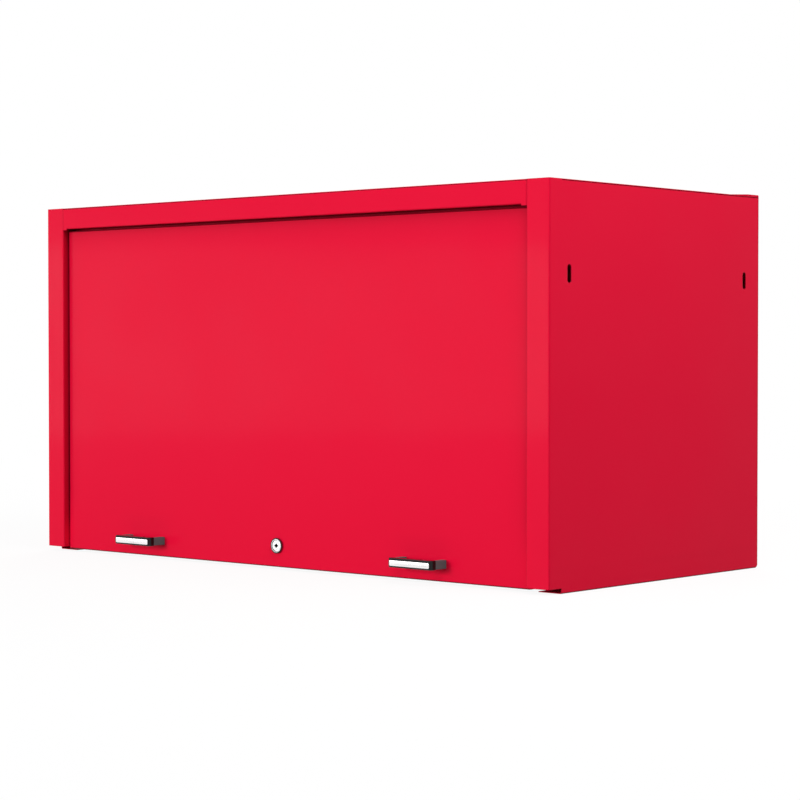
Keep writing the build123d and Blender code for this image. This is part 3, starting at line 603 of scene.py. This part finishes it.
def spot_weld(centre, normal, radius=0.003, rise=0.0002):
    """Grid of a spot weld: a shallow dish inside a low round rim, closed behind."""
    section = ((0.0, 0.2), (0.55, 0.3), (0.78, 1.0), (1.0, 0.1), (1.0, -1.0), (0.0, -1.0))
    return turned([(radius * out, rise * up) for out, up in section], centre, normal, spokes=12)


def rivet_head(centre, normal, radius, rise=0.0011, sunk=0.0002):
    """Grid of a domed rivet head: radius sin t by rise cos t, on a flat underside."""
    angle = quarter_turn(7)
    dome = np.stack([radius * np.sin(angle), rise * np.cos(angle)], axis=-1)
    return turned([*dome, (radius, -sunk), (0.0, -sunk)], centre, normal, spokes=24)


def places_along(start, end, pitch):
    """Points at an even pitch from one point to another, both ends included."""
    start, end = np.asarray(start, float), np.asarray(end, float)
    count = max(2, int(round(np.linalg.norm(end - start) / pitch)) + 1)
    return [start + share * (end - start) for share in np.linspace(0.0, 1.0, count)]


# Finishes

def both(*stems):
    """The left and the right node's name of each stem."""
    return [f"{stem}_{name}" for stem in stems for name in ("left", "right")]


def back_weld_lines():
    """Where the welds of the back's rib and of the side panels' rear flanges show on the back panel."""
    lines = []
    for name, inset, top_margin in (("back_rib", hat_flange / 2, weld_margin),
                                    ("side_panel_right", rear_weld_inset, 2 * weld_margin)):
        low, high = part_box(name)
        start, end = low.z + weld_margin, high.z - top_margin
        steps = round((end - start) / weld_pitch)
        lines.append((high.x - inset, start, (end - start) / steps, float(steps)))
    return lines


red_cabinet = make_red_coat("red_powder_coat")
red_door = make_red_coat("red_door_coat", foot=0.05, recess_shade_share=0.85)
red_back = make_red_coat("red_back_coat", weld_lines=back_weld_lines())
red_side = make_red_coat("red_side_coat", front_shine=2.5)
zinc = make_metal("bright_zinc", (0.60, 0.62, 0.64, 1.0), (0.66, 0.66, 0.62, 1.0), 0.30,
                  stretch=(1.0, 1.0, 0.15))
chrome = make_metal("lock_chrome", (0.92, 0.92, 0.92, 1.0), (0.95, 0.95, 0.94, 1.0), 0.16,
                    line_scale=260.0, line_depth=0.000002, dull=0.05)
cone_shade_grey = make_metal("lock_cone_grey", (0.07, 0.07, 0.07, 1.0), (0.10, 0.10, 0.10, 1.0), 0.35,
                       line_scale=260.0, line_depth=0.000002, dull=0.05)
rod_chrome = make_metal("ground_rod", (0.62, 0.63, 0.65, 1.0), (0.70, 0.70, 0.71, 1.0), 0.10,
                        line_scale=600.0, line_depth=0.000002, dull=0.06)
bright_strip = make_metal("bright_strip", (0.86, 0.87, 0.87, 1.0), (0.92, 0.92, 0.92, 1.0), 0.10,
                          stretch=(0.02, 1.0, 1.0), line_scale=2400.0, line_depth=0.000003, dull=0.07)
tube_black = make_dark_metal("strut_black", (0.010, 0.010, 0.011, 1.0), (0.10, 0.10, 0.10, 1.0), 0.22)
rubber = make_dark_metal("bumper_rubber", (0.018, 0.018, 0.018, 1.0), (0.035, 0.035, 0.035, 1.0), 0.75,
                         grain=0.0005, specular=0.3)
# Painted shade: near-black that stands for the dark of the keyhole
keyhole_shade_black = make_dark_metal("keyhole_shade_black", (0.0015, 0.0015, 0.0015, 1.0), (0.004, 0.004, 0.004, 1.0), 0.6,
                               specular=0.1)
bed_black = make_dark_metal("handle_bed_black", (0.005, 0.005, 0.005, 1.0), (0.02, 0.02, 0.02, 1.0), 0.35,
                            specular=0.15)
handle_metal = make_handle_metal("handle_metal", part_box("handle_right")[0].y + bar_depth)

finishes = {
    red_back: ["back_panel"],
    red_side: both("side_panel"),
    red_cabinet: ["roof_panel", "back_rib", "hinge_rail", "hinge_leaf_frame", "hinge_pin",
                  *both("roof_rib", "door_stop")],
    red_door: ["door_skin", "door_brace_centre", "hinge_leaf_door", *both("door_brace")],
    zinc: ["lock_nut", "lock_cam", "lock_cam_screw", "handle_screws", "strut_studs_cabinet",
           "strut_studs_door", *both("keeper", "lock_rod", "rod_guide", "strut_bracket", "strut_mount",
                                     "strut_eye_lower", "strut_eye_upper")],
    chrome: ["lock_bezel", "lock_barrel", "lock_plug"],
    rod_chrome: both("strut_rod"),
    bright_strip: both("handle_inlay"),
    handle_metal: both("handle"),
    tube_black: both("strut_tube"),
    rubber: ["lock_gasket", *both("door_bumper", "cable_grommet")],
}
for material, names in finishes.items():
    for name in names:
        slots = nodes[name].data.materials
        slots.clear()
        slots.append(material)


# Screws

def cross_screws(name, replaced, places, sizes, body):
    """Pan-head screws with a cross recess, heads to the back, in place of a plain node.

    The sizes are the head's radius and height and the shank's radius and length.
    """
    grids = [cross_head(place, (0, 1, 0), *sizes) for place in places]
    piece = mesh_piece(name, grids, body, zinc, smooth_angle=35.0)
    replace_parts(piece, replaced)


def handle_screw_places():
    """Two screws behind each leg of each handle, on the inner face of the door skin."""
    skin_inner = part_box("handle_screws")[1].y - handle_head_height
    places = []
    for name in both("handle"):
        low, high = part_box(name)
        for x in (low.x + leg_width / 2, high.x - leg_width / 2):
            places.append((x, skin_inner, (low.z + high.z) / 2))
    return places


cross_screws("handle_cross_screws", "handle_screws", handle_screw_places(),
             (handle_head_radius, handle_head_height, handle_shank_radius, handle_shank_length), "door")

cam_screw_low, cam_screw_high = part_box("lock_cam_screw")
cam_head_foot = cam_screw_high.y - cam_head_height
cam_shank_length = cam_head_foot - cam_screw_low.y
lock_z = (cam_screw_low.z + cam_screw_high.z) / 2
cross_screws("cam_cross_screw", "lock_cam_screw", [(0.0, cam_head_foot, lock_z)],
             (cam_head_radius, cam_head_height, cam_shank_radius, cam_shank_length), "lock_plug")


# Lock face

def make_lock_face():
    """Chrome rim round the barrel's head, and the rubber collar that grips it, both turned about the lock.

    The rim's inner edge is a cone down to the head, in dark grey as painted shade, and its outside widens from the
    door to the front.
    The collar follows it outside, as a wall that ends in a rounded lip.
    """
    # Radii, then heights before the door, then small measures of the corners, the cone and the gap
    hole, head, foot, rim, lip = 0.0087, 0.0103, 0.0106, 0.0122, 0.0142
    collar_inner, collar_foot, rim_foot = rim + 0.00005, foot - 0.0012, foot - 0.0013
    under, seat, straight, head_front, lip_front, rim_front = 0.0008, 0.0024, 0.0033, 0.0036, 0.0043, 0.0044
    lip_round, rim_round, cone_width, play = 0.0005, 0.0004, 0.0008, 0.0001
    door_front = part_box("lock_gasket")[1].y
    centre, outwards = (0.0, door_front, lock_z), (0, -1, 0)
    collar = [(hole, 0.0), (foot, 0.0), (lip, straight), *rounded_corner(lip, lip_front, lip_round),
              (collar_inner, lip_front), (collar_inner, straight), (collar_foot, under), (hole, under),
              (hole, 0.0)]
    grid = turned(collar, centre, outwards, spokes=72)
    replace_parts(mesh_piece("lock_collar", [grid], "door", rubber), "lock_gasket")
    bezel = [(hole, under), (rim_foot, under), (rim, straight), *rounded_corner(rim, rim_front, rim_round),
             (head + cone_width, rim_front), (head, head_front - play), (head, seat), (hole, seat),
             (hole, under)]
    grid = turned(bezel, centre, outwards, spokes=72)
    piece = mesh_piece("lock_rim", [grid], "door", chrome)
    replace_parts(piece, "lock_bezel")
    # Painted shade: the cone gets a dark grey copy of the chrome
    piece.data.materials.append(cone_shade_grey)
    centres = np.empty(len(piece.data.polygons) * 3)
    piece.data.polygons.foreach_get("center", centres)
    radius = np.hypot(centres[0::3], centres[2::3] - lock_z)
    height = door_front - centres[1::3]
    on_cone = (radius < head + cone_width) & (height > head_front - play)
    piece.data.polygons.foreach_set("material_index", on_cone.astype(np.int32))


def make_key_mouth():
    """Black square plate on the plug, a little wider than high, with its shank in the keyhole: painted shade for
    the dark of the keyhole.

    It is a turned form of four spokes, scaled across and up.
    """
    plate, mouth, pinhole = 0.0046, 0.0026, 0.00117
    proud, sunk, root, depth = 0.00015, 0.00005, 0.0023, 0.0029
    wider, lower = 1.12, 0.9
    profile = [(0.0, root), (pinhole, root), (mouth, -proud), (plate, -proud), (plate, sunk), (mouth, sunk),
               (mouth, depth), (0.0, depth)]
    place = (0.0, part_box("lock_plug")[0].y, lock_z)
    grid = turned(profile, (0.0, 0.0, 0.0), (0, 1, 0), spokes=4) * (wider, 1.0, lower) + place
    mesh_piece("key_mouth", [grid], "lock_plug", keyhole_shade_black, smooth_angle=20.0)


make_lock_face()
make_key_mouth()


# Handle strips

def make_handle_strip(name):
    """Bright strip let into the handle's bar, on a black bed that fills the recess round it."""
    low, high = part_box(f"handle_inlay_{name}")
    middle = (low.x + high.x) / 2
    bed_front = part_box(f"handle_{name}")[0].y - bed_rise
    bed = rounded_plate((middle, (low.z + high.z) / 2), (high.x - low.x) / 2, (high.z - low.z) / 2,
                        bed_corner, high.y, bed_front, bed_edge)
    mesh_piece(f"handle_bed_{name}", [bed], "door", bed_black)
    strip = rounded_plate((middle, low.z + bed_below + strip_half_height), strip_half_length,
                          strip_half_height, strip_corner, bed_front + strip_sunk, low.y, strip_edge)
    piece = mesh_piece(f"handle_strip_{name}", [strip], "door", bright_strip)
    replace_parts(piece, f"handle_inlay_{name}")


make_handle_strip("left")
make_handle_strip("right")


# Spot welds and weld beads

def flange_middles(low, high):
    """X of the middles of a hat section's two flanges."""
    return low.x + hat_flange / 2, high.x - hat_flange / 2


def weld_strips():
    """Rows of spot welds, by the node that they hold: (start, end, the way the welds face)."""
    strips = {}
    for name in ("door_brace_left", "door_brace_centre", "door_brace_right"):
        low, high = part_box(name)
        y = low.y + sheet
        strips[name] = [((x, y, low.z + weld_margin), (x, y, high.z - weld_margin), (0, 1, 0))
                        for x in flange_middles(low, high)]
    for name in both("roof_rib"):
        low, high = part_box(name)
        z = high.z - sheet
        strips[name] = [((x, low.y + weld_margin, z), (x, high.y - weld_margin, z), (0, 0, -1))
                        for x in flange_middles(low, high)]
    low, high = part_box("back_rib")
    y = high.y - sheet
    strips["back_rib"] = [((x, y, low.z + weld_margin), (x, y, high.z - weld_margin), (0, -1, 0))
                          for x in flange_middles(low, high)]
    low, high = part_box("hinge_rail")
    y, roof_z = high.y - rail_weld_inset, high.z - sheet
    strips["hinge_rail"] = [((low.x + weld_margin, y, roof_z), (high.x - weld_margin, y, roof_z), (0, 0, -1))]
    for side, name in sides:
        low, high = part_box(f"side_panel_{name}")
        outside = high.x if side > 0 else -low.x
        roof_x = side * (outside - roof_weld_inset)
        rear_x, rear_y = side * (outside - rear_weld_inset), high.y - sheet
        strips[f"side_panel_{name}"] = [
            ((roof_x, low.y + 2 * weld_margin, roof_z), (roof_x, high.y - weld_margin, roof_z), (0, 0, -1)),
            ((rear_x, rear_y, low.z + weld_margin), (rear_x, rear_y, high.z - 2 * weld_margin), (0, -1, 0)),
        ]
    return strips


def make_fascia_seams():
    """Weld beads that fill the grooves between the fascia's ends and the posts, ground almost flush.

    Each is the groove's section, carried straight up and closed by a fan at each end.
    """
    low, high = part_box("roof_panel")
    bottom, top = low.z, high.z - outer_bend
    section = np.array(bead_section)
    middle = np.broadcast_to(section[:-1].mean(axis=0), section.shape)
    rows = [(middle, bottom), (section, bottom), (section, top), (middle, top)]
    for side, name in sides:
        low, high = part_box(f"side_panel_{name}")
        post_inner = low.x if side > 0 else high.x
        grid = np.stack([np.stack([post_inner + side * part[:, 0], low.y + part[:, 1], np.full(len(part), z)],
                                  axis=-1) for part, z in rows])
        mesh_piece(f"fascia_seam_{name}", [grid], "cabinet", red_cabinet, smooth_angle=30.0)


for held, strips in weld_strips().items():
    welds = [spot_weld(place, normal) for start, end, normal in strips
             for place in places_along(start, end, weld_pitch)]
    owner = carrier[held]
    mesh_piece(f"{held}_welds", welds, owner, red_door if owner == "door" else red_cabinet)
make_fascia_seams()


# Rivets

def rivet_places():
    """Rivets by the node that they hold: (places, the way the heads face, head radius)."""
    rivets = {}
    for side, name in sides:
        low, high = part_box(f"strut_bracket_{name}")
        x, middle = (high.x if side > 0 else low.x) - side * bracket_sheet, (low.z + high.z) / 2
        rivets[f"strut_bracket_{name}"] = (
            [(x, y, middle + rise) for y in (low.y + bracket_rivet_inset, high.y - bracket_rivet_inset)
             for rise in (-bracket_rivet_spread, bracket_rivet_spread)],
            (-side, 0, 0), bracket_rivet)
        for part, spread in foot_rivet_spreads.items():
            low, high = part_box(f"{part}_{name}")
            x, middle = (low.x if side > 0 else high.x) + side * foot_rivet_inset, (low.z + high.z) / 2
            rivets[f"{part}_{name}"] = (
                [(x, low.y + bracket_sheet, middle + rise) for rise in (-spread, spread)],
                (0, 1, 0), small_rivet)
        low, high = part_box(f"door_stop_{name}")
        x, middle = (high.x if side > 0 else low.x) - side * stop_rivet_inset, (low.z + high.z) / 2
        rivets[f"door_stop_{name}"] = (
            [(x, high.y, middle + rise) for rise in (-stop_rivet_spread, stop_rivet_spread)],
            (0, 1, 0), small_rivet)
    for leaf, facing in (("hinge_leaf_door", 1), ("hinge_leaf_frame", -1)):
        low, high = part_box(leaf)
        y, z = low.y + sheet if facing > 0 else high.y - sheet, low.z + leaf_rivet_height
        first, last = (low.x + leaf_rivet_margin, y, z), (high.x - leaf_rivet_margin, y, z)
        rivets[leaf] = (places_along(first, last, leaf_rivet_pitch), (0, facing, 0), small_rivet)
    return rivets


painted_over = (*both("door_stop"), "hinge_leaf_door", "hinge_leaf_frame")
for held, (places, facing, radius) in rivet_places().items():
    heads = [rivet_head(place, facing, radius) for place in places]
    slot, material = ("red_paint", red_cabinet) if held in painted_over else ("zinc_steel", zinc)
    mesh_piece(f"{held}_rivets", heads, carrier[held], material)


# Gas struts and door stops

def strut_line(name):
    """A strut's anchor and door stud, the unit vector between them, and how far along it the tube ends."""
    anchor = np.array(joints[f"strut_tube_{name}_swing"]["pos_m"])
    stud = np.array(joints[f"strut_rod_{name}_swing"]["pos_m"])
    length = np.linalg.norm(stud - anchor)
    return anchor, stud, (stud - anchor) / length, length - eye_reach - rod_shown


def rolled_groove(middle, width=0.0032, depth=0.0009):
    """Outer profile across a rolled groove: the radius dips by a half cosine wave."""
    step = np.linspace(-1.0, 1.0, 9)
    dip = depth * 0.5 * (1.0 + np.cos(math.pi * step))
    return np.stack([tube_radius - dip, middle + step * width / 2], axis=-1)


def make_strut_tube(name):
    """Pressed tube turned about the strut's line.

    It has a round base, two rolled grooves and a neck rolled over the gland.
    """
    base_round, neck_draw, neck_length, groove_places = 0.0045, 0.0028, 0.0040, (0.0235, 0.0125)
    anchor, _, way, tube_end = strut_line(name)
    angle = quarter_turn(8)
    less_sine, less_cosine = 1 - np.sin(angle), 1 - np.cos(angle)
    base = np.stack([tube_radius - base_round * less_sine, tube_start + base_round * less_cosine], axis=-1)
    neck = np.stack([tube_radius - neck_draw * less_cosine, tube_end - neck_length * less_sine], axis=-1)
    grooves = np.concatenate([rolled_groove(tube_end - place) for place in groove_places])
    bore, gland_foot, floor_top = rod_radius + running_fit, tube_end - gland_length, tube_start + tube_floor
    profile = [(0.0, tube_start), *base, *grooves, *neck, (bore, tube_end), (bore, gland_foot),
               (tube_bore, gland_foot), (tube_bore, floor_top), (0.0, floor_top)]
    grid = turned(profile, anchor, way, spokes=64)
    tube = mesh_piece(f"strut_pressed_tube_{name}", [grid], f"strut_tube_{name}", tube_black)
    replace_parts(tube, f"strut_tube_{name}")


def make_gland_seal(name):
    """Wiper lip where the rod leaves the tube: a thin half-round ring."""
    half_width, height = 0.0006, 0.0007
    anchor, _, way, tube_end = strut_line(name)
    angle = np.linspace(0.0, math.pi, 9)
    lip = np.stack([rod_radius + 2 * running_fit + half_width * (1 - np.cos(angle)),
                    tube_end + height * np.sin(angle)], axis=-1)
    grid = turned([*lip, lip[0]], anchor, way, spokes=48)
    mesh_piece(f"strut_gland_seal_{name}", [grid], f"strut_tube_{name}", rubber)


def make_stud_washers(side, name):
    """Thin washers that fill the running gap beside each eye, one on each stud."""
    thickness, hole, rim, edge, play = 0.0004, 0.0041, 0.0064, 0.0001, 0.00005
    profile = [(hole, 0.0), (rim - edge, 0.0), (rim, edge), (rim, thickness - edge), (rim - edge, thickness),
               (hole, thickness), (hole, 0.0)]
    anchor, stud, _, _ = strut_line(name)
    for body, point, outward in (("cabinet", anchor, side), ("door", stud, -side)):
        centre = point + np.array([outward * (eye_half + play), 0.0, 0.0])
        grid = turned(profile, centre, (outward, 0, 0), spokes=40)
        mesh_piece(f"stud_washer_{body}_{name}", [grid], body, zinc)


def make_bumper_pad(name):
    """Rubber pad of the door stop: a round-edged disc with a ring groove and a hollow middle."""
    face = ((0.0, 0.55), (0.25, 0.55), (0.32, 1.0), (0.58, 1.0), (0.64, 0.7), (0.72, 0.7), (0.78, 1.0))
    edge_round = 0.0004
    low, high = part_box(f"door_bumper_{name}")
    centre = ((low.x + high.x) / 2, high.y, (low.z + high.z) / 2)
    radius, height = (high.x - low.x) / 2, high.y - low.y
    profile = [*((radius * out, height * up) for out, up in face),
               *rounded_corner(radius, height, edge_round)[::-1], (radius, 0.0), (0.0, 0.0)]
    pad = mesh_piece(f"bumper_pad_{name}", [turned(profile, centre, (0, -1, 0), spokes=40)], "cabinet",
                     rubber)
    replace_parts(pad, f"door_bumper_{name}")


for side, name in sides:
    make_strut_tube(name)
    make_gland_seal(name)
    make_stud_washers(side, name)
    make_bumper_pad(name)


# Stage: floor, sky, lamps and camera

def seen_directly(tree):
    """1 for a ray from the camera, or off metal or through glass, else 0."""
    path = node(tree, "ShaderNodeLightPath").outputs
    mirrored = plus(tree, path["Is Glossy Ray"], path["Is Transmission Ray"])
    return plus(tree, path["Is Camera Ray"], mirrored, clamp=True)


def make_floor():
    """Pale floor that keeps the object's shadow near by and fades into the white sky further out."""
    corners = np.array([[[-1, -1, 0], [1, -1, 0]], [[-1, 1, 0], [1, 1, 0]]], float) * floor_half
    corners[..., 2] = -floor_drop
    material, tree = blank_material("pale_floor")
    seen = seen_directly(tree)
    tone = remap(tree, seen, 0.0, 1.0, floor_tone_bounced, floor_tone_seen)
    matt = node(tree, "ShaderNodeBsdfDiffuse", {"Color": tone})
    glow = node(tree, "ShaderNodeEmission", {"Color": white, "Strength": 1.0})
    far = node(tree, "ShaderNodeVectorMath", {0: object_place(tree)}, operation="LENGTH").outputs["Value"]
    share = times(tree, seen, remap(tree, far, *floor_fade, floor_white_share, 1.0))
    mix = node(tree, "ShaderNodeMixShader", {0: share, 1: matt.outputs[0], 2: glow.outputs[0]})
    node(tree, "ShaderNodeOutputMaterial", {"Surface": mix.outputs[0]})
    mesh = bpy.data.meshes.new("floor")
    mesh.from_pydata(corners.reshape(-1, 3).tolist(), [], [(0, 1, 3, 2)])
    mesh.materials.append(material)
    floor = bpy.data.objects.new("floor", mesh)
    bpy.context.scene.collection.objects.link(floor)


def make_sky():
    """White sky: full where it is seen, weaker as light."""
    world = bpy.data.worlds.new("studio")
    world.use_nodes = True
    tree = world.node_tree
    tree.nodes.clear()
    strength = remap(tree, seen_directly(tree), 0.0, 1.0, ambient_strength, 1.0)
    sky = node(tree, "ShaderNodeBackground", {"Color": white, "Strength": strength})
    node(tree, "ShaderNodeOutputWorld", {"Surface": sky.outputs[0]})
    bpy.context.scene.world = world


def make_lamps():
    """Rectangular area lamps, each seen either by diffuse or by glossy rays."""
    for name, (place, aim, size, power) in lamps.items():
        data = bpy.data.lights.new(name, "AREA")
        data.shape = "RECTANGLE"
        data.size, data.size_y = size
        data.energy = power
        lamp = bpy.data.objects.new(name, data)
        lamp.location = place
        direction = Vector(aim) - Vector(place)
        lamp.rotation_euler = direction.to_track_quat("-Z", "Y").to_euler()
        lamp.visible_diffuse = name not in glossy_only
        lamp.visible_glossy = name not in diffuse_only
        bpy.context.scene.collection.objects.link(lamp)


def make_camera():
    """The camera of the photograph, level but for its slight pitch."""
    data = bpy.data.cameras.new("camera")
    data.sensor_width = sensor_width
    data.lens = camera_lens
    camera = bpy.data.objects.new("camera", data)
    camera.location = camera_place
    camera.rotation_euler = (math.radians(90.0 - camera_pitch), 0.0, math.radians(camera_azimuth))
    bpy.context.scene.collection.objects.link(camera)
    bpy.context.scene.camera = camera


make_floor()
make_sky()
make_lamps()
make_camera()
bpy.context.scene.view_settings.view_transform = "Standard"
